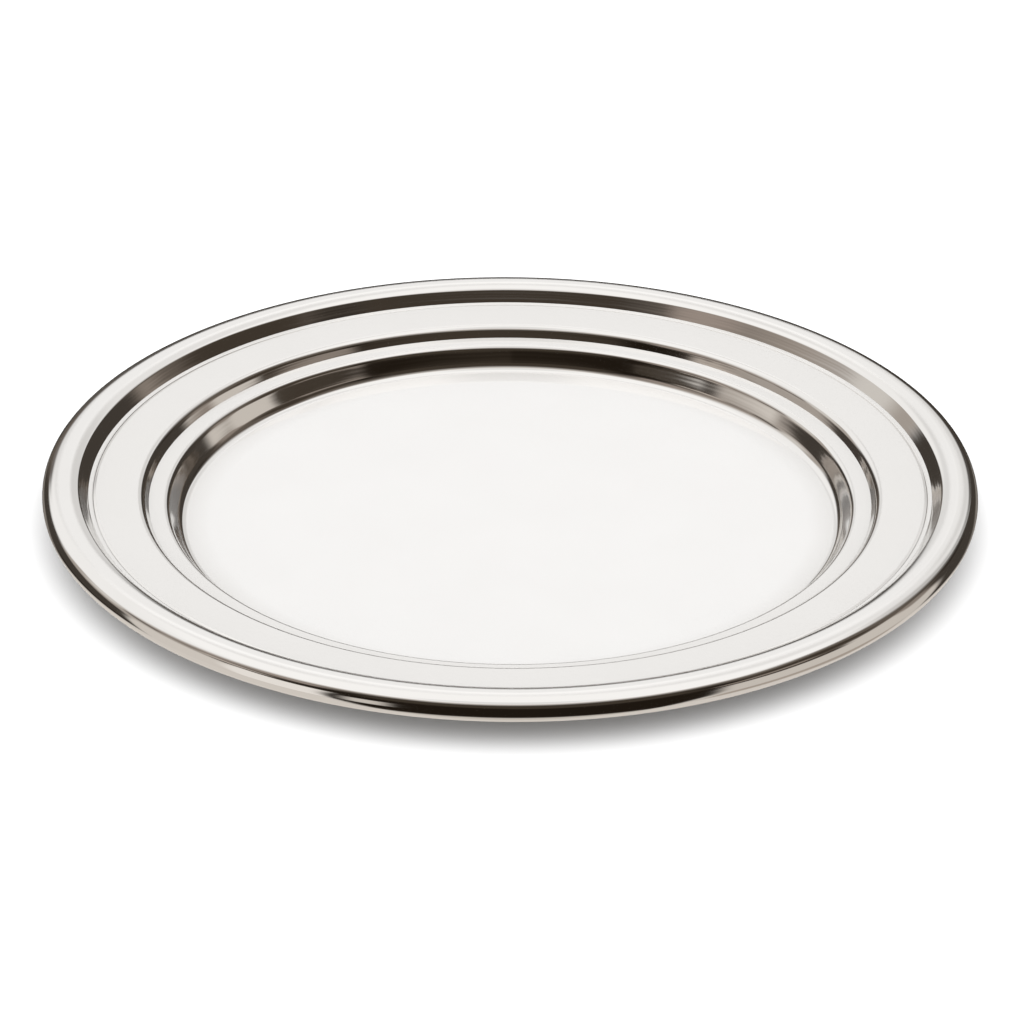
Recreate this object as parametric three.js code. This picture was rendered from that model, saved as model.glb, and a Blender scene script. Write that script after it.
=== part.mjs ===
// Round serving tray of polished stainless steel.
// One disc of sheet is pressed into a flat base with a stepped border, and its
// edge is curled round a steel hoop that stiffens the rim.
// Millimetres, +Z up. The origin is on the surface the tray stands on, at its centre.

import * as THREE from 'three';

// The sheet and the tray's overall width
const trayDiameter = 350;
const sheetThickness = 0.8;

// Curled edge: outside radius of the curl and how far it wraps, in degrees
const curlRadius = 4.35;
const curlWrap = 270;

// Steel hoop inside the curl
const hoopClearance = 0.3;

// Crowned band inside the curl: its slope at both edges, in degrees, and its crown
const bandWidth = 10.85;
const bandSlope = 22.5;
const bandCrownRadius = 11.8;

// First step, from the pressed strip up to the band
const firstStepRun = 3.65;
const firstStepRise = 3.95;
const firstStepFootRadius = 0.1;
const firstStepShoulderRadius = 1.55;

// Pressed strip and the fine sunk line between it and the flange
const stripWidth = 1.15;
const lineWidth = 2;
const lineDepth = 0.22;
const lineRadius = 0.6;

// Flange
const flangeWidth = 16.85;
const flangeRise = 0.6;

// Second step, from the ledge up to the flange
const secondStepRun = 2.5;
const secondStepRise = 3.7;
const secondStepFootRadius = 0.1;
const secondStepShoulderRadius = 3.4;

// Narrow ledge round the well
const ledgeWidth = 7.05;
const ledgeEdgeRadius = 2.4;

// Well wall, down to the flat base
const wellWallRun = 4.8;
const wellDepth = 8.15;
const wellFootRadius = 5.2;

// Facets: sides of the turned form, and the largest angle of one step along an arc
const turnedSides = 60;
const bendStep = 24;
const curlStep = 22.5;
const hoopSides = 12;
const stepTolerance = 1e-6;

const radians = THREE.MathUtils.degToRad;

// Corners of the pressed section's upper side, from the well's foot outwards.
// Each is a width and a rise from the one before, with the inside radius of its bend.
// The flat base takes up what is left of the tray's diameter.
function sectionCorners() {
  const slope = radians(bandSlope);
  const bandRise = Math.tan(slope) * bandWidth / 2;
  const steps = [
    { run: wellWallRun, rise: wellDepth, radius: ledgeEdgeRadius },
    { run: ledgeWidth, rise: 0, radius: secondStepFootRadius },
    { run: secondStepRun, rise: secondStepRise, radius: secondStepShoulderRadius },
    { run: flangeWidth, rise: flangeRise, radius: lineRadius },
    { run: lineWidth / 2, rise: -lineDepth, radius: lineRadius },
    { run: lineWidth / 2, rise: lineDepth, radius: lineRadius },
    { run: stripWidth, rise: 0, radius: firstStepFootRadius },
    { run: firstStepRun, rise: firstStepRise, radius: firstStepShoulderRadius },
    { run: bandWidth / 2, rise: bandRise, radius: bandCrownRadius },
    { run: bandWidth / 2, rise: -bandRise, radius: 0 },
  ];
  const bandEnd = trayDiameter / 2 - curlRadius + curlRadius * Math.sin(slope);
  const baseRadius = bandEnd - steps.reduce((sum, step) => sum + step.run, 0);
  const corners = [
    { point: new THREE.Vector2(0, sheetThickness), radius: 0 },
    { point: new THREE.Vector2(baseRadius, sheetThickness), radius: wellFootRadius },
  ];
  for (const { run, rise, radius } of steps) {
    const last = corners[corners.length - 1].point;
    corners.push({ point: new THREE.Vector2(last.x + run, last.y + rise), radius });
  }
  return corners;
}

// Points of an arc of the sheet's upper side with their outward normals.
// Angles are those of the normal; the centre lies below a shoulder and above a foot.
function arcPoints(centre, radius, fromAngle, toAngle, side, largestStep) {
  const wanted = Math.abs(toAngle - fromAngle) / radians(largestStep);
  const steps = Math.max(1, Math.ceil(wanted - stepTolerance));
  const points = [];
  for (let i = 0; i <= steps; i += 1) {
    const angle = fromAngle + (toAngle - fromAngle) * i / steps;
    const normal = new THREE.Vector2(Math.cos(angle), Math.sin(angle));
    points.push({ point: centre.clone().addScaledVector(normal, side * radius), normal });
  }
  return points;
}

// How far each bend reaches along its two straight runs, kept within those runs.
function bendReaches(corners) {
  const lengths = [];
  for (let i = 1; i < corners.length; i += 1) {
    lengths.push(corners[i].point.distanceTo(corners[i - 1].point));
  }
  const wanted = corners.map(({ point, radius }, i) => {
    if (i === 0 || i === corners.length - 1) return { reach: 0, turn: 0, radius: 0 };
    const before = point.clone().sub(corners[i - 1].point).angle();
    const after = corners[i + 1].point.clone().sub(point).angle();
    const turn = Math.atan2(Math.sin(after - before), Math.cos(after - before));
    const upperRadius = turn < 0 ? radius + sheetThickness : radius;
    return { reach: upperRadius * Math.tan(Math.abs(turn) / 2), turn, radius: upperRadius };
  });
  const share = wanted.map(() => 1);
  lengths.forEach((length, i) => {
    const used = wanted[i].reach + wanted[i + 1].reach;
    const fits = used > length ? length / used : 1;
    share[i] = Math.min(share[i], fits);
    share[i + 1] = Math.min(share[i + 1], fits);
  });
  return wanted.map(({ reach, turn, radius }, i) => (
    { reach: reach * share[i], turn, radius: radius * share[i] }
  ));
}

// Upper side of the pressed section: straight runs with every corner bent round.
function pressedSection() {
  const corners = sectionCorners();
  const bends = bendReaches(corners);
  const up = new THREE.Vector2(0, 1);
  const section = [{ point: corners[0].point, normal: up }];
  for (let i = 1; i < corners.length - 1; i += 1) {
    const { reach, turn, radius } = bends[i];
    const heading = corners[i].point.clone().sub(corners[i - 1].point).normalize();
    const normal = new THREE.Vector2(-heading.y, heading.x);
    const side = turn < 0 ? 1 : -1;
    const start = corners[i].point.clone().addScaledVector(heading, -reach);
    const centre = start.clone().addScaledVector(normal, -side * radius);
    const fromAngle = normal.angle();
    section.push(...arcPoints(centre, radius, fromAngle, fromAngle + turn, side, bendStep));
  }
  return section;
}

// The curl goes on from the band's outer edge, over the outside and back underneath.
function curledEdge() {
  const corners = sectionCorners();
  const bandEnd = corners[corners.length - 1].point;
  const fromAngle = radians(90 - bandSlope);
  const normal = new THREE.Vector2(Math.cos(fromAngle), Math.sin(fromAngle));
  const centre = bandEnd.clone().addScaledVector(normal, -curlRadius);
  const points = arcPoints(centre, curlRadius, fromAngle, fromAngle - radians(curlWrap), 1, curlStep);
  return { centre, points };
}

const steel = { color: 0xd8d6d2, metalness: 1 };
const turnUpright = Math.PI / 2;
const curl = curledEdge();

// Pressed sheet: out along its upper side and the curl, back along its underside
const upperSide = [...pressedSection(), ...curl.points];
const underside = upperSide.map(({ point, normal }) => (
  point.clone().addScaledVector(normal, -sheetThickness)
));
underside[0].x = 0;
const panOutline = [...underside, ...upperSide.map(({ point }) => point).reverse()];
const trayPan = new THREE.Mesh(
  new THREE.LatheGeometry(panOutline, turnedSides),
  new THREE.MeshStandardMaterial({ ...steel, roughness: 0.12 }),
);
trayPan.name = 'tray_pan';

// Wire hoop, welded end to end, lying in the curl
const hoopWireRadius = curlRadius - sheetThickness - hoopClearance;
const hoopOutline = [];
for (let i = 0; i <= hoopSides; i += 1) {
  const angle = 2 * Math.PI * (i % hoopSides) / hoopSides;
  const outward = new THREE.Vector2(Math.cos(angle), Math.sin(angle));
  hoopOutline.push(curl.centre.clone().addScaledVector(outward, hoopWireRadius));
}
const rimWire = new THREE.Mesh(
  new THREE.LatheGeometry(hoopOutline, turnedSides),
  new THREE.MeshStandardMaterial({ ...steel, color: 0x9a9894, roughness: 0.4 }),
);
rimWire.name = 'rim_wire';

const tray = new THREE.Group();
for (const piece of [trayPan, rimWire]) {
  piece.rotation.x = turnUpright;
  tray.add(piece);
}

export default tray;
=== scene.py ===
import math

import bpy
from mathutils import Matrix, Vector


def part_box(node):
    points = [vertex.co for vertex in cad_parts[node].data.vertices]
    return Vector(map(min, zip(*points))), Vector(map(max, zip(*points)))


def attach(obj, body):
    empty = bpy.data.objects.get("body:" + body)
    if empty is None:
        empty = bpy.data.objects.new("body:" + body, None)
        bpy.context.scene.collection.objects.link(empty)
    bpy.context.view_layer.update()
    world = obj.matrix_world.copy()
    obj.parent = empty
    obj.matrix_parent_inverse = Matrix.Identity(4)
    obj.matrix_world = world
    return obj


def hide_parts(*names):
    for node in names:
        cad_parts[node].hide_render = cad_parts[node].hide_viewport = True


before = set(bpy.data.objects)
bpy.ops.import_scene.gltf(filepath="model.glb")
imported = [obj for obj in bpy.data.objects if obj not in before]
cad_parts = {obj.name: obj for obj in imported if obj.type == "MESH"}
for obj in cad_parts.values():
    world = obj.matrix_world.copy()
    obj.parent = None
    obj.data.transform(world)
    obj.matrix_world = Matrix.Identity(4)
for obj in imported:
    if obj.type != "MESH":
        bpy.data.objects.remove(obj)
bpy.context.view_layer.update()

# Pressed pan
# One disc of stainless sheet, pressed in a die into a flat well, a narrow ledge, a flange and a
# crowned band, with its edge curled over and under. It is buffed all over to a soft mirror.
mm = 0.001
rim_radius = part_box("tray_pan")[1].x
sheet_thickness = 0.8 * mm
curl_radius = 4.35 * mm
curl_wrap = math.radians(270)
band_width = 10.85 * mm
band_slope = math.radians(22.5)
band_crown_radius = 11.8 * mm
first_step_run = 3.65 * mm
first_step_rise = 3.95 * mm
first_step_foot_radius = 0.1 * mm
first_step_shoulder_radius = 1.55 * mm
strip_width = 1.45 * mm
line_width = 1.4 * mm
line_outer_run = 0.5 * mm
line_depth = 0.33 * mm
line_radius = 0.2 * mm
flange_width = 17.15 * mm
flange_rise = 0.6 * mm
second_step_run = 2.5 * mm
second_step_rise = 3.7 * mm
second_step_foot_radius = 0.1 * mm
second_step_shoulder_radius = 3.4 * mm
ledge_width = 7.05 * mm
ledge_edge_radius = 2.4 * mm
well_wall_run = 4.8 * mm
well_depth = 8.15 * mm
well_foot_radius = 5.2 * mm

# How finely the pan is turned: rings on the flat base and the share of it that they cover, sides
# all round, the largest step along a bend, and steps round the free edge
base_rings = 8
base_ring_share = 0.9
turned_sides = 280
bend_step = math.radians(5)
edge_round_steps = 6


def pan_corners():
    """Corners of the section's upper side from the well's foot outwards.

    Each has the inside radius of its bend. The flat base takes up what is left of the rim's radius.
    """
    band_rise = math.tan(band_slope) * band_width / 2
    steps = [
        (well_wall_run, well_depth, ledge_edge_radius),
        (ledge_width, 0, second_step_foot_radius),
        (second_step_run, second_step_rise, second_step_shoulder_radius),
        (flange_width, flange_rise, line_radius),
        (line_width - line_outer_run, -line_depth, line_radius),
        (line_outer_run, line_depth, line_radius),
        (strip_width, 0, first_step_foot_radius),
        (first_step_run, first_step_rise, first_step_shoulder_radius),
        (band_width / 2, band_rise, band_crown_radius),
        (band_width / 2, -band_rise, 0),
    ]
    band_end = rim_radius - curl_radius + curl_radius * math.sin(band_slope)
    base_radius = band_end - sum(run for run, rise, bend in steps)
    corners = [(Vector((base_radius, sheet_thickness)), well_foot_radius)]
    for run, rise, bend in steps:
        corners.append((corners[-1][0] + Vector((run, rise)), bend))
    return base_radius, corners


def turned_arc(centre, radius, from_angle, to_angle, side):
    """Points of an arc with their outward normals. The centre lies below a shoulder and above a foot."""
    steps = max(1, math.ceil(abs(to_angle - from_angle) / bend_step))
    arc = []
    for i in range(steps + 1):
        angle = from_angle + (to_angle - from_angle) * i / steps
        normal = Vector((math.cos(angle), math.sin(angle)))
        arc.append((centre + normal * radius * side, normal))
    return arc


def pan_upper_side():
    """Points and normals along the upper side: flat base, bent corners, then the curl to its free edge."""
    base_radius, corners = pan_corners()
    up = Vector((0, 1))
    section = []
    for i in range(1, base_rings + 1):
        section.append((Vector((base_radius * base_ring_share * i / base_rings, sheet_thickness)), up))
    before = Vector((0, sheet_thickness))
    for i, (point, bend) in enumerate(corners[:-1]):
        heading = (point - before).normalized()
        after = (corners[i + 1][0] - point).normalized()
        turn = math.atan2(heading.x * after.y - heading.y * after.x, heading.dot(after))
        side = 1 if turn < 0 else -1
        radius = bend + sheet_thickness if turn < 0 else bend
        normal = Vector((-heading.y, heading.x))
        start = point - heading * radius * math.tan(abs(turn) / 2)
        from_angle = math.atan2(normal.y, normal.x)
        section += turned_arc(start - normal * radius * side, radius, from_angle, from_angle + turn, side)
        before = point
    curl_start = math.pi / 2 - band_slope
    start_normal = Vector((math.cos(curl_start), math.sin(curl_start)))
    curl_centre = corners[-1][0] - start_normal * curl_radius
    section += turned_arc(curl_centre, curl_radius, curl_start, curl_start - curl_wrap, 1)
    return section, curl_centre


def pan_outline():
    """The whole section: upper side, deburred free edge, and the underside one thickness below."""
    upper, curl_centre = pan_upper_side()
    end_point, end_normal = upper[-1]
    middle = end_point - end_normal * sheet_thickness / 2
    forward = Vector((end_normal.y, -end_normal.x))
    edge = []
    for i in range(1, edge_round_steps):
        angle = math.pi * i / edge_round_steps
        normal = end_normal * math.cos(angle) + forward * math.sin(angle)
        edge.append((middle + normal * sheet_thickness / 2, normal))
    underside = [(point - normal * sheet_thickness, -normal) for point, normal in reversed(upper)]
    return upper + edge + underside, curl_centre


def turned_mesh(name, outline, sides, closed_ring):
    """A mesh turned about the Z axis from section points and normals.

    A closed ring joins its last row to its first, and any other outline is closed on the axis.
    """
    vertices = []
    normals = []
    for point, normal in outline:
        for side in range(sides):
            angle = 2 * math.pi * side / sides
            vertices.append((point.x * math.cos(angle), point.x * math.sin(angle), point.y))
            normals.append((normal.x * math.cos(angle), normal.x * math.sin(angle), normal.y))
    faces = []
    rows = len(outline)
    for row in range(rows if closed_ring else rows - 1):
        here = row * sides
        there = (row + 1) % rows * sides
        for side in range(sides):
            following = (side + 1) % sides
            faces.append((here + side, there + side, there + following, here + following))
    if not closed_ring:
        first_pole = len(vertices)
        vertices += [(0, 0, outline[0][0].y), (0, 0, outline[-1][0].y)]
        normals += [(0, 0, 1), (0, 0, -1)]
        last_row = (rows - 1) * sides
        for side in range(sides):
            following = (side + 1) % sides
            faces.append((first_pole, side, following))
            faces.append((first_pole + 1, last_row + following, last_row + side))
    mesh = bpy.data.meshes.new(name)
    mesh.from_pydata(vertices, [], faces)
    mesh.shade_smooth()
    mesh.normals_split_custom_set_from_vertices(normals)
    mesh.validate()
    mesh.update()
    piece = bpy.data.objects.new(name, mesh)
    bpy.context.scene.collection.objects.link(piece)
    return piece


def add_node(tree, kind, **settings):
    """A node with its own settings; a setting named after an input fills that input."""
    node = tree.nodes.new(kind)
    for key, value in settings.items():
        if hasattr(node, key):
            setattr(node, key, value)
        else:
            node.inputs[key.replace("_", " ").title()].default_value = value
    return node


# Where the marks start and stop dulling the steel, and how many octaves they have
marks_start = 0.6
marks_full = 1.4
line_octaves = 3.0
haze_octaves = 4.0


def steel_marks_group():
    """Haze and hairlines of polished or drawn steel.

    Gives a roughness, the heights of lines and waves, and the distance from the tray's axis.
    """
    group = bpy.data.node_groups.new("steel_marks", "ShaderNodeTree")
    sockets = group.interface
    sockets.new_socket("Position", in_out="INPUT", socket_type="NodeSocketVector")
    for name in ("Haze Scale", "Line Scale", "Smooth Roughness", "Hazy Roughness"):
        sockets.new_socket(name, in_out="INPUT", socket_type="NodeSocketFloat")
    for name in ("Roughness", "Line Height", "Wave Height", "Distance"):
        sockets.new_socket(name, in_out="OUTPUT", socket_type="NodeSocketFloat")
    given = group.nodes.new("NodeGroupInput")
    result = group.nodes.new("NodeGroupOutput")
    link = group.links.new
    split = add_node(group, "ShaderNodeSeparateXYZ")
    link(given.outputs["Position"], split.inputs[0])
    flat = add_node(group, "ShaderNodeCombineXYZ")
    link(split.outputs["X"], flat.inputs["X"])
    link(split.outputs["Y"], flat.inputs["Y"])
    distance = add_node(group, "ShaderNodeVectorMath", operation="LENGTH")
    link(flat.outputs[0], distance.inputs[0])
    rings = add_node(group, "ShaderNodeTexNoise", noise_dimensions="1D", detail=line_octaves)
    link(distance.outputs["Value"], rings.inputs["W"])
    link(given.outputs["Line Scale"], rings.inputs["Scale"])
    haze = add_node(group, "ShaderNodeTexNoise", detail=haze_octaves)
    link(given.outputs["Position"], haze.inputs["Vector"])
    link(given.outputs["Haze Scale"], haze.inputs["Scale"])
    both = add_node(group, "ShaderNodeMath", operation="ADD")
    link(rings.outputs[0], both.inputs[0])
    link(haze.outputs[0], both.inputs[1])
    spread = add_node(group, "ShaderNodeMapRange", from_min=marks_start, from_max=marks_full)
    link(both.outputs[0], spread.inputs["Value"])
    link(given.outputs["Smooth Roughness"], spread.inputs["To Min"])
    link(given.outputs["Hazy Roughness"], spread.inputs["To Max"])
    link(spread.outputs["Result"], result.inputs["Roughness"])
    link(rings.outputs[0], result.inputs["Line Height"])
    link(haze.outputs[0], result.inputs["Wave Height"])
    link(distance.outputs["Value"], result.inputs["Distance"])
    return group


steel_marks = steel_marks_group()


def place_marks(tree, place, haze_scale, line_scale, smooth_roughness, hazy_roughness):
    """The steel's marks laid on one material, at its own scales and roughnesses."""
    marks = tree.nodes.new("ShaderNodeGroup")
    marks.node_tree = steel_marks
    marks.inputs["Haze Scale"].default_value = haze_scale
    marks.inputs["Line Scale"].default_value = line_scale
    marks.inputs["Smooth Roughness"].default_value = smooth_roughness
    marks.inputs["Hazy Roughness"].default_value = hazy_roughness
    tree.links.new(place.outputs["Object"], marks.inputs["Position"])
    return marks


# Where on the waves the steel's tint starts and stops changing
tint_start = 0.3
tint_full = 0.7


def steel_tint(tree, marks, dull_tint, bright_tint):
    """The steel's own colour, which drifts between two tints over the surface."""
    tint = add_node(tree, "ShaderNodeValToRGB")
    dull, bright = tint.color_ramp.elements
    dull.position = tint_start
    dull.color = dull_tint
    bright.position = tint_full
    bright.color = bright_tint
    tree.links.new(marks.outputs["Wave Height"], tint.inputs["Fac"])
    return tint.outputs["Color"]


def relief(tree, height, strength, depth, under=None):
    """Fine relief as a bump, laid over another one where there is one."""
    bump = add_node(tree, "ShaderNodeBump", strength=strength, distance=depth)
    tree.links.new(height, bump.inputs["Height"])
    if under is not None:
        tree.links.new(under, bump.inputs["Normal"])
    return bump.outputs["Normal"]


# Colour sockets of a Mix node
first_colour = 6
second_colour = 7
mixed_colour = 2

# The sheet's tints, and painted shade that darkens the stepped border between two distances from the axis
sheet_dull_tint = (0.921, 0.913, 0.906, 1)
sheet_bright_tint = (0.936, 0.929, 0.923, 1)
base_edge = 112 * mm
border_edge = 124 * mm
# Painted shade: a darker tint on the stepped border, which dims the light that it mirrors
border_painted_shade_tint = (0.908, 0.901, 0.89, 1)


def with_painted_border_shade(tree, marks, tint):
    """The sheet's tint with painted shade: darker on the stepped border than on the base, so the border's
    mirrored light reads dimmer.
    """
    border = add_node(tree, "ShaderNodeMapRange", from_min=base_edge, from_max=border_edge)
    tree.links.new(marks.outputs["Distance"], border.inputs["Value"])
    shade_painted = add_node(tree, "ShaderNodeMix", data_type="RGBA", blend_type="MULTIPLY")
    tree.links.new(border.outputs["Result"], shade_painted.inputs["Factor"])
    tree.links.new(tint, shade_painted.inputs[first_colour])
    shade_painted.inputs[second_colour].default_value = border_painted_shade_tint
    return shade_painted.outputs[mixed_colour]


def facing_share(tree, upward, start, full, start_value, full_value):
    """A value that eases from one to another as the surface faces more or less upward."""
    share = add_node(tree, "ShaderNodeMapRange", interpolation_type="SMOOTHSTEP")
    share.inputs["From Min"].default_value = start
    share.inputs["From Max"].default_value = full
    share.inputs["To Min"].default_value = start_value
    share.inputs["To Max"].default_value = full_value
    tree.links.new(upward, share.inputs["Value"])
    return share.outputs["Result"]


# Use marks haze the level faces; how far a face points upward sets where they start and are full
clean_metallic = 1.0
hazed_metallic = 0.75
haze_start = 0.965
haze_full = 0.993

# Lines that the die draws along the steep faces
draw_line_scale = 330.0
draw_line_octaves = 1.0
draw_line_strength = 1.0
draw_line_depth = 0.04 * mm
draw_line_wander = 3 * mm
steep_start = 0.9
steep_full = 0.75


def draw_line_height(tree, place, marks, upward):
    """Height of the draw lines, which wander a little round the tray and fade on level faces."""
    link = tree.links.new
    steep = facing_share(tree, upward, steep_start, steep_full, 0.0, 1.0)
    position = add_node(tree, "ShaderNodeSeparateXYZ")
    link(place.outputs["Object"], position.inputs[0])
    along = add_node(tree, "ShaderNodeMath", operation="ADD")
    link(marks.outputs["Distance"], along.inputs[0])
    link(position.outputs["Z"], along.inputs[1])
    wander = add_node(tree, "ShaderNodeMath", operation="MULTIPLY_ADD")
    link(marks.outputs["Wave Height"], wander.inputs[0])
    wander.inputs[1].default_value = draw_line_wander
    link(along.outputs[0], wander.inputs[2])
    streaks = add_node(tree, "ShaderNodeTexNoise", noise_dimensions="1D")
    streaks.inputs["Scale"].default_value = draw_line_scale
    streaks.inputs["Detail"].default_value = draw_line_octaves
    link(wander.outputs[0], streaks.inputs["W"])
    on_steps = add_node(tree, "ShaderNodeMath", operation="MULTIPLY")
    link(streaks.outputs[0], on_steps.inputs[0])
    link(steep, on_steps.inputs[1])
    return on_steps.outputs[0]


# Scales and roughness of the sheet's polish, and the relief of its waves and polishing lines
sheet_haze_scale = 28.0
sheet_line_scale = 2600.0
sheet_smooth_roughness = 0.06
sheet_hazy_roughness = 0.1
polish_strength = 0.5
wave_depth = 0.04 * mm
polish_line_depth = 0.0004 * mm


def polished_sheet_material():
    """Buffed stainless sheet: a faintly warm mirror with haze, fine turned lines, slight waves and painted
    shade on its stepped border.
    """
    material = bpy.data.materials.new("polished_sheet")
    material.use_nodes = True
    tree = material.node_tree
    link = tree.links.new
    shader = tree.nodes["Principled BSDF"]
    place = add_node(tree, "ShaderNodeTexCoord")
    marks = place_marks(
        tree, place, sheet_haze_scale, sheet_line_scale, sheet_smooth_roughness, sheet_hazy_roughness
    )
    link(marks.outputs["Roughness"], shader.inputs["Roughness"])
    tint = steel_tint(tree, marks, sheet_dull_tint, sheet_bright_tint)
    # The base colour carries painted shade on the stepped border
    link(with_painted_border_shade(tree, marks, tint), shader.inputs["Base Color"])
    facing = add_node(tree, "ShaderNodeSeparateXYZ")
    link(place.outputs["Normal"], facing.inputs[0])
    upward = facing.outputs["Z"]
    metallic = facing_share(tree, upward, haze_start, haze_full, clean_metallic, hazed_metallic)
    link(metallic, shader.inputs["Metallic"])
    waves = relief(tree, marks.outputs["Wave Height"], polish_strength, wave_depth)
    lines = relief(tree, marks.outputs["Line Height"], polish_strength, polish_line_depth, waves)
    draw_lines = draw_line_height(tree, place, marks, upward)
    drawn = relief(tree, draw_lines, draw_line_strength, draw_line_depth, lines)
    link(drawn, shader.inputs["Normal"])
    return material


outline, curl_centre = pan_outline()
pressed_pan = turned_mesh("pressed_pan", outline, turned_sides, closed_ring=False)
pressed_pan.data.materials.append(polished_sheet_material())
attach(pressed_pan, "root")
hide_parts("tray_pan")

# Rim wire
# A hoop of drawn steel wire, butt-welded end to end, that the sheet's edge is curled round.
# It is left in its dull drawn finish, because the curl hides it.
wire_clearance = 0.3 * mm
wire_radius = curl_radius - sheet_thickness - wire_clearance
wire_facets = 32
wire_dull_tint = (0.5, 0.485, 0.465, 1)
wire_bright_tint = (0.6, 0.59, 0.57, 1)
wire_haze_scale = 60.0
wire_line_scale = 5000.0
wire_smooth_roughness = 0.32
wire_hazy_roughness = 0.5
die_line_strength = 0.6
die_line_depth = 0.004 * mm
wire_outline = []
for facet in range(wire_facets):
    facet_angle = 2 * math.pi * facet / wire_facets
    outward = Vector((math.cos(facet_angle), math.sin(facet_angle)))
    wire_outline.append((curl_centre + outward * wire_radius, outward))
wire_outline.reverse()


def drawn_wire_material():
    """Drawn steel wire: grey and satin, with die lines that run round the hoop."""
    material = bpy.data.materials.new("drawn_wire")
    material.use_nodes = True
    tree = material.node_tree
    link = tree.links.new
    shader = tree.nodes["Principled BSDF"]
    shader.inputs["Metallic"].default_value = 1.0
    place = add_node(tree, "ShaderNodeTexCoord")
    marks = place_marks(
        tree, place, wire_haze_scale, wire_line_scale, wire_smooth_roughness, wire_hazy_roughness
    )
    link(marks.outputs["Roughness"], shader.inputs["Roughness"])
    link(steel_tint(tree, marks, wire_dull_tint, wire_bright_tint), shader.inputs["Base Color"])
    die_lines = relief(tree, marks.outputs["Line Height"], die_line_strength, die_line_depth)
    link(die_lines, shader.inputs["Normal"])
    return material


rim_hoop = turned_mesh("rim_hoop", wire_outline, turned_sides, closed_ring=True)
rim_hoop.data.materials.append(drawn_wire_material())
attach(rim_hoop, "root")
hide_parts("rim_wire")

# Floor
# A plain white studio table under the tray. It takes the tray's soft shadow, and the polished steel
# mirrors the studio's own panels instead of it.
floor_half = 6.0
floor_drop = 0.1 * mm
floor_colour = (0.9, 0.9, 0.9, 1)
floor_corners = [
    (-floor_half, -floor_half, -floor_drop),
    (floor_half, -floor_half, -floor_drop),
    (floor_half, floor_half, -floor_drop),
    (-floor_half, floor_half, -floor_drop),
]
floor_mesh = bpy.data.meshes.new("studio_floor")
floor_mesh.from_pydata(floor_corners, [], [(0, 1, 2, 3)])
floor = bpy.data.objects.new("studio_floor", floor_mesh)
bpy.context.scene.collection.objects.link(floor)
floor_material = bpy.data.materials.new("studio_floor")
floor_material.use_nodes = True
floor_shader = floor_material.node_tree.nodes["Principled BSDF"]
floor_shader.inputs["Base Color"].default_value = floor_colour
floor_shader.inputs["Roughness"].default_value = 1.0
floor_shader.inputs["Specular IOR Level"].default_value = 0.0
floor_mesh.materials.append(floor_material)
floor.visible_glossy = False

# Studio
# The room that the polished steel mirrors, drawn by direction: soft lights behind and above the tray,
# white panels at the left, grey ones at the right, dark flags between them and the lights, and an
# unlit side behind the camera. Azimuths run from straight behind the tray, with right as positive.
world = bpy.data.worlds.new("studio")
bpy.context.scene.world = world
world.use_nodes = True
world.cycles.sampling_method = "NONE"
studio = world.node_tree
studio.nodes.clear()
join = studio.links.new


def panel_mask_group():
    """How much of a soft-edged panel is seen at a direction, from its limits in degrees."""
    group = bpy.data.node_groups.new("panel_mask", "ShaderNodeTree")
    sockets = group.interface
    for name in ("Azimuth", "Elevation", "Left", "Right", "Bottom", "Top", "Softness", "Slant"):
        sockets.new_socket(name, in_out="INPUT", socket_type="NodeSocketFloat")
    sockets.new_socket("Mask", in_out="OUTPUT", socket_type="NodeSocketFloat")
    given = group.nodes.new("NodeGroupInput").outputs
    result = group.nodes.new("NodeGroupOutput")
    link = group.links.new

    def worked_out(first, second, operation):
        """Two values worked into one by a Math node."""
        node = add_node(group, "ShaderNodeMath", operation=operation)
        link(first, node.inputs[0])
        link(second, node.inputs[1])
        return node.outputs[0]

    def edge_fade(value, edge, rising):
        """The panel's fade across one of its edges."""
        low = worked_out(given[edge], given["Softness"], "SUBTRACT")
        high = worked_out(given[edge], given["Softness"], "ADD")
        ramp = add_node(group, "ShaderNodeMapRange", interpolation_type="SMOOTHSTEP")
        link(value, ramp.inputs["Value"])
        link(low, ramp.inputs["From Min"])
        link(high, ramp.inputs["From Max"])
        ramp.inputs["To Min"].default_value = 0.0 if rising else 1.0
        ramp.inputs["To Max"].default_value = 1.0 if rising else 0.0
        return ramp.outputs["Result"]

    from_left = worked_out(given["Azimuth"], given["Left"], "SUBTRACT")
    top_rise = worked_out(from_left, given["Slant"], "MULTIPLY")
    under_top = worked_out(given["Elevation"], top_rise, "SUBTRACT")
    left_fade = edge_fade(given["Azimuth"], "Left", rising=True)
    right_fade = edge_fade(given["Azimuth"], "Right", rising=False)
    bottom_fade = edge_fade(given["Elevation"], "Bottom", rising=True)
    top_fade = edge_fade(under_top, "Top", rising=False)
    across = worked_out(left_fade, right_fade, "MULTIPLY")
    upright = worked_out(bottom_fade, top_fade, "MULTIPLY")
    link(worked_out(across, upright, "MULTIPLY"), result.inputs["Mask"])
    return group


panel_mask = panel_mask_group()
direction = add_node(studio, "ShaderNodeTexCoord").outputs["Generated"]
split_direction = add_node(studio, "ShaderNodeSeparateXYZ")
join(direction, split_direction.inputs[0])


def in_degrees(value):
    """An angle in degrees from one in radians."""
    node = add_node(studio, "ShaderNodeMath", operation="DEGREES")
    join(value, node.inputs[0])
    return node.outputs[0]


azimuth_node = add_node(studio, "ShaderNodeMath", operation="ARCTAN2")
join(split_direction.outputs["X"], azimuth_node.inputs[0])
join(split_direction.outputs["Y"], azimuth_node.inputs[1])
seen_azimuth = in_degrees(azimuth_node.outputs[0])
elevation_node = add_node(studio, "ShaderNodeMath", operation="ARCSINE")
join(split_direction.outputs["Z"], elevation_node.inputs[0])
seen_elevation = in_degrees(elevation_node.outputs[0])


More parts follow.
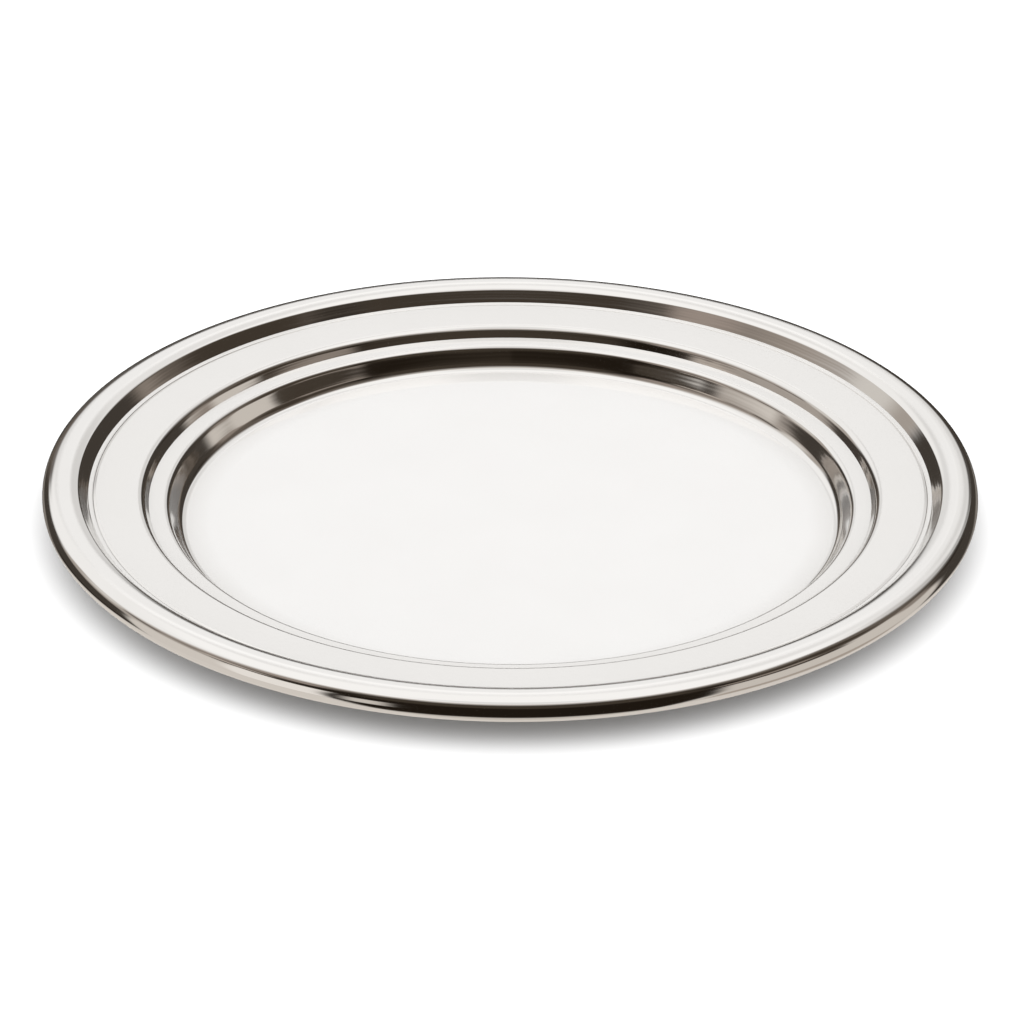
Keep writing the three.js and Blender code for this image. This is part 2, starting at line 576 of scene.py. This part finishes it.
def layer(below, mask, colour):
    """The colours below with a further light or panel laid over them."""
    node = add_node(studio, "ShaderNodeMix", data_type="RGBA")
    join(mask, node.inputs["Factor"])
    if isinstance(below, tuple):
        node.inputs[first_colour].default_value = below
    else:
        join(below, node.inputs[first_colour])
    node.inputs[second_colour].default_value = colour
    return node.outputs[mixed_colour]


def round_light(below, colour, azimuth, elevation, full_within, gone_beyond):
    """A round soft light that fades between two angles from its middle, all in degrees."""
    turn = math.radians(azimuth)
    rise = math.radians(elevation)
    middle = (math.sin(turn) * math.cos(rise), math.cos(turn) * math.cos(rise), math.sin(rise))
    cosine = add_node(studio, "ShaderNodeVectorMath", operation="DOT_PRODUCT")
    join(direction, cosine.inputs[0])
    cosine.inputs[1].default_value = middle
    angle = add_node(studio, "ShaderNodeMath", operation="ARCCOSINE")
    join(cosine.outputs["Value"], angle.inputs[0])
    fade = add_node(studio, "ShaderNodeMapRange", interpolation_type="SMOOTHSTEP")
    join(in_degrees(angle.outputs[0]), fade.inputs["Value"])
    fade.inputs["From Min"].default_value = gone_beyond
    fade.inputs["From Max"].default_value = full_within
    return layer(below, fade.outputs["Result"], colour)


def panel(below, colour, left, right, bottom, top, softness, slant=0.0):
    """A soft-edged panel between two azimuths and two elevations, in degrees.

    The slant is how far its top rises for each degree to the right.
    """
    node = studio.nodes.new("ShaderNodeGroup")
    node.node_tree = panel_mask
    join(seen_azimuth, node.inputs["Azimuth"])
    join(seen_elevation, node.inputs["Elevation"])
    node.inputs["Left"].default_value = left
    node.inputs["Right"].default_value = right
    node.inputs["Bottom"].default_value = bottom
    node.inputs["Top"].default_value = top
    node.inputs["Softness"].default_value = softness
    node.inputs["Slant"].default_value = slant
    return layer(below, node.outputs["Mask"], colour)


# Lights: their glow on the ceiling and the left wall, the big one behind the tray, the broad one
# above it, and the small one overhead
unlit_colour = (0.015, 0.0105, 0.0068, 1)
halo_colour = (0.36, 0.31, 0.265, 1)
left_halo_colour = (0.4, 0.345, 0.3, 1)
ceiling_colour = (0.8, 0.765, 0.725, 1)
light_colour = (1.0, 0.99, 0.976, 1)
upper_light_colour = (1.08, 1.07, 1.055, 1)
overhead_colour = (0.86, 0.852, 0.84, 1)
room = round_light(unlit_colour, halo_colour, azimuth=0, elevation=72, full_within=12, gone_beyond=58)
room = round_light(room, left_halo_colour, azimuth=-62, elevation=50, full_within=10, gone_beyond=50)
room = round_light(room, ceiling_colour, azimuth=0, elevation=86, full_within=8, gone_beyond=36)
room = round_light(room, light_colour, azimuth=-18, elevation=50, full_within=27, gone_beyond=50)
room = round_light(room, upper_light_colour, azimuth=0, elevation=70, full_within=23, gone_beyond=33)
room = round_light(room, overhead_colour, azimuth=0, elevation=88, full_within=5, gone_beyond=13)

# Dimmer parts of the big light: a band across it, its right side, and its low right and middle
dimmed_colour = (0.90, 0.89, 0.877, 1)
low_right_colour = (0.76, 0.75, 0.735, 1)
low_middle_colour = (0.822, 0.814, 0.802, 1)
room = panel(room, dimmed_colour, left=-22, right=24, bottom=43, top=55, softness=5)
room = panel(room, dimmed_colour, left=7, right=30, bottom=17, top=56, softness=5)
room = panel(room, low_right_colour, left=6, right=23, bottom=4, top=34, softness=3.5)
room = panel(room, low_middle_colour, left=-18, right=6, bottom=12, top=36, softness=3.5)

# The wall at the left of the big light, and a warm light on it
left_wall_colour = (0.42, 0.375, 0.335, 1)
warm_light_colour = (0.68, 0.645, 0.6, 1)
room = panel(room, left_wall_colour, left=-104, right=-46, bottom=13, top=29, softness=3)
room = panel(room, warm_light_colour, left=-70, right=-55, bottom=20, top=32, softness=4)

# The table as the curl and the steps mirror it, dimmer towards the camera and at the right
near_table_colour = (0.62, 0.57, 0.51, 1)
table_colour = (0.72, 0.67, 0.615, 1)
right_table_colour = (0.42, 0.365, 0.315, 1)
room = panel(room, near_table_colour, left=-200, right=200, bottom=-120, top=-58, softness=8)
room = panel(room, table_colour, left=-138, right=132, bottom=-120, top=-29, softness=4)
room = panel(room, right_table_colour, left=62, right=126, bottom=-48, top=-28, softness=4)

# At the left: two pale shelves, a dark gap, white panels with a dark strip over them, and a grey one
high_shelf_colour = (0.36, 0.3, 0.26, 1)
shelf_colour = (0.52, 0.455, 0.4, 1)
flag_colour = (0.056, 0.047, 0.039, 1)
shaded_panel_colour = (0.70, 0.65, 0.595, 1)
white_panel_colour = (0.90, 0.855, 0.805, 1)
dark_brown_colour = (0.055, 0.043, 0.032, 1)
grey_panel_colour = (0.64, 0.59, 0.535, 1)
room = panel(room, high_shelf_colour, left=-124, right=-101, bottom=46, top=54, softness=3.5)
room = panel(room, shelf_colour, left=-117, right=-96, bottom=29, top=36, softness=3)
room = panel(room, flag_colour, left=-85, right=-71, bottom=25.5, top=29.5, softness=1.2)
room = panel(room, shaded_panel_colour, left=-136, right=-80, bottom=-32, top=26.5, softness=3, slant=-0.15)
room = panel(room, white_panel_colour, left=-136, right=-111, bottom=-27, top=25.5, softness=3)
room = panel(room, dark_brown_colour, left=-136, right=-111, bottom=26, top=31, softness=1.5)
room = panel(room, grey_panel_colour, left=-152, right=-142, bottom=-18, top=15, softness=3)

# At the right: a dim wall with a dark recess, two brown boards, a dark gap, and grey panels below
dim_brown_colour = (0.13, 0.107, 0.088, 1)
brown_colour = (0.28, 0.237, 0.202, 1)
room = panel(room, dim_brown_colour, left=50, right=110, bottom=20, top=56, softness=8)
room = panel(room, dark_brown_colour, left=71, right=109, bottom=33, top=50, softness=3)
room = panel(room, brown_colour, left=97, right=126, bottom=29, top=37, softness=3)
room = panel(room, brown_colour, left=57, right=78, bottom=12, top=28, softness=3)
room = panel(room, dark_brown_colour, left=90, right=122, bottom=14, top=27.5, softness=2.5)
room = panel(room, grey_panel_colour, left=60, right=130, bottom=-30, top=13, softness=4)
room = panel(room, grey_panel_colour, left=73, right=92, bottom=-30, top=25.5, softness=2.5)
room = panel(room, grey_panel_colour, left=84, right=128, bottom=-30, top=14.5, softness=3, slant=0.2)

# Dark flags at both sides of the big light, the dim foot of the wall between them, and the table's
# dim edges under them
wall_foot_colour = (0.1, 0.09, 0.08, 1)
table_edge_colour = (0.25, 0.225, 0.2, 1)
room = panel(room, flag_colour, left=-80, right=-38, bottom=-20, top=10.5, softness=3, slant=0.08)
room = panel(room, flag_colour, left=-44, right=-20, bottom=-6, top=18, softness=3)
room = panel(room, dim_brown_colour, left=-25, right=-8, bottom=-8, top=18, softness=4, slant=-0.8)
room = panel(room, wall_foot_colour, left=-20, right=14, bottom=-9, top=5, softness=3)
room = panel(room, flag_colour, left=8, right=34, bottom=-12, top=-1, softness=3, slant=1.35)
room = panel(room, flag_colour, left=23, right=60, bottom=-24, top=19, softness=3, slant=0.15)
room = panel(room, table_edge_colour, left=-36, right=-20, bottom=-30, top=-9, softness=4)
room = panel(room, table_edge_colour, left=20, right=33, bottom=-30, top=-7, softness=4)

# Dim furniture behind the camera
room = panel(room, dark_brown_colour, left=127, right=200, bottom=35, top=60, softness=5)
room = panel(room, dark_brown_colour, left=-200, right=-140, bottom=37, top=60, softness=5)

# Camera rays see plain white and mirrored rays see the room. The table is lit evenly from all round,
# and what the tray's underside throws back on to it is dim
white = (1.0, 1.0, 1.0, 1)
sky_colour = (1.6, 1.6, 1.6, 1)
under_tray_colour = (0.2, 0.19, 0.18, 1)
light_path = add_node(studio, "ShaderNodeLightPath")
from_table = add_node(studio, "ShaderNodeMath", operation="MINIMUM")
join(light_path.outputs["Diffuse Depth"], from_table.inputs[0])
from_table.inputs[1].default_value = 1.0
mirrored = layer(room, from_table.outputs[0], under_tray_colour)
mirrored_or_sky = add_node(studio, "ShaderNodeMix", data_type="RGBA")
join(light_path.outputs["Is Glossy Ray"], mirrored_or_sky.inputs["Factor"])
mirrored_or_sky.inputs[first_colour].default_value = sky_colour
join(mirrored, mirrored_or_sky.inputs[second_colour])
seen = layer(mirrored_or_sky.outputs[mixed_colour], light_path.outputs["Is Camera Ray"], white)
background = add_node(studio, "ShaderNodeBackground")
join(seen, background.inputs["Color"])
world_output = add_node(studio, "ShaderNodeOutputWorld")
join(background.outputs[0], world_output.inputs["Surface"])

# Camera
# A long lens from well back, looking down at the front of the tray. Its distance makes the tray as
# wide in the picture as it is in the photo, and small shifts set it at the same place.
view_elevation = math.radians(27.68)
view_roll = math.radians(0.4)
picture_width = 1024
focal_pixels = 8000
tray_width_pixels = 932.9
pixel_size = 2 * rim_radius / tray_width_pixels
centre_right = 2.0
centre_up = 5.55
camera_data = bpy.data.cameras.new("photo_camera")
camera_data.sensor_width = 36.0
camera_data.lens = camera_data.sensor_width * focal_pixels / picture_width
camera_data.shift_x = centre_right / picture_width
camera_data.shift_y = centre_up / picture_width
camera = bpy.data.objects.new("photo_camera", camera_data)
bpy.context.scene.collection.objects.link(camera)
target = Vector((0, 0, sheet_thickness))
away = Vector((0, -math.cos(view_elevation), math.sin(view_elevation)))
camera_turn = away.to_track_quat("Z", "Y").to_matrix().to_4x4()
camera_place = Matrix.Translation(target + away * focal_pixels * pixel_size)
camera.matrix_world = camera_place @ camera_turn @ Matrix.Rotation(view_roll, 4, "Z")
bpy.context.scene.camera = camera
bpy.context.scene.view_settings.view_transform = "Standard"
